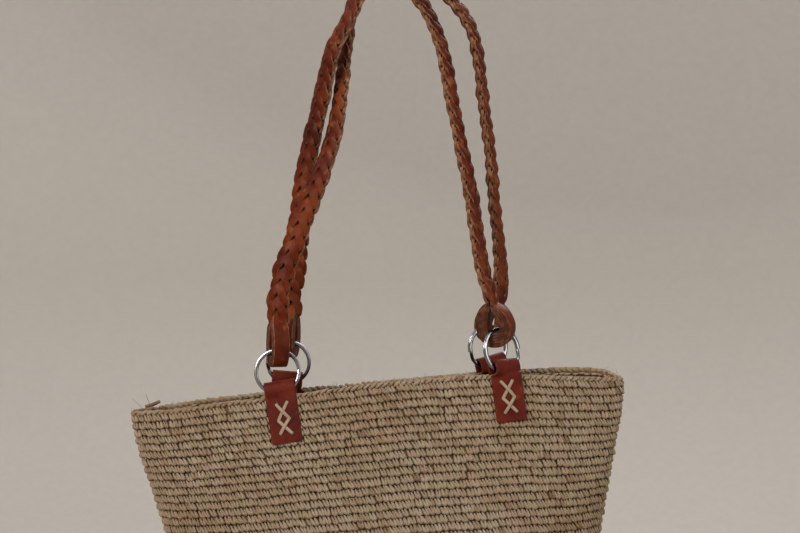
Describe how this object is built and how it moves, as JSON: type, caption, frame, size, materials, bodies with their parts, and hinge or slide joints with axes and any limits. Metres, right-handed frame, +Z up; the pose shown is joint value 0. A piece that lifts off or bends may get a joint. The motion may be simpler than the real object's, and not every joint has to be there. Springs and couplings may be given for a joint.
{
  "type": "straw basket bag",
  "caption": "Crocheted straw basket bag with long braided leather handles, hung by the handles, with leather tabs and metal rings at the rim.",
  "frame": {"origin": "the point under the tops of the two handles where a hook carries the bag", "axes": "+Z up along gravity, +X to the right of the bag's front, -Y out of the front"},
  "size_m": [0.4058, 0.1272, 0.6421],
  "materials": {
    "raffia": "crocheted, matte",
    "tab_leather": "smooth, satin",
    "braid_leather": "smooth, satin",
    "ring_metal": "polished nickel"
  },
  "bodies": {
    "root": {"basket": "raffia", "tab_front_left": "tab_leather", "tab_front_right": "tab_leather", "tab_back_left": "tab_leather", "tab_back_right": "tab_leather", "ring_front_left": "ring_metal", "ring_front_right": "ring_metal", "ring_back_left": "ring_metal", "ring_back_right": "ring_metal", "loop_front_left": "braid_leather", "loop_front_right": "braid_leather", "loop_back_left": "braid_leather", "loop_back_right": "braid_leather", "handle_front": "braid_leather", "handle_back": "braid_leather"}
  },
  "joints": []
}
